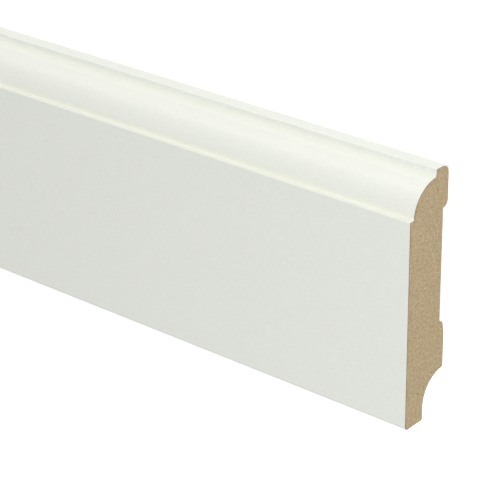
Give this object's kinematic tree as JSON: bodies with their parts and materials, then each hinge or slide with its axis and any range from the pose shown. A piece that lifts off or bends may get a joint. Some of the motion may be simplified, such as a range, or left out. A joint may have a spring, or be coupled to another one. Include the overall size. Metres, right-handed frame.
{
  "type": "skirting board length",
  "caption": "Length of white-faced fibreboard skirting with a rounded moulding over a ledge, a recessed back between flat wall pads and a cable cove behind the foot.",
  "frame": {"origin": "on the level surface the board lies on, under the middle of its box: halfway along its length and halfway up its height on the wall", "axes": "+X along the length, towards the sawn end that the picture shows; +Y from the foot to the moulded top edge; +Z from the wall side to the flat front face"},
  "size_m": [2.4, 0.07, 0.016],
  "materials": {
    "white_faced_fibreboard": "satin white lacquer on the face, moulding and top edge; raw light-brown fibreboard on the sawn ends, the back and the cable cove"
  },
  "bodies": {
    "root": {"skirting_board": "white_faced_fibreboard"}
  },
  "joints": []
}
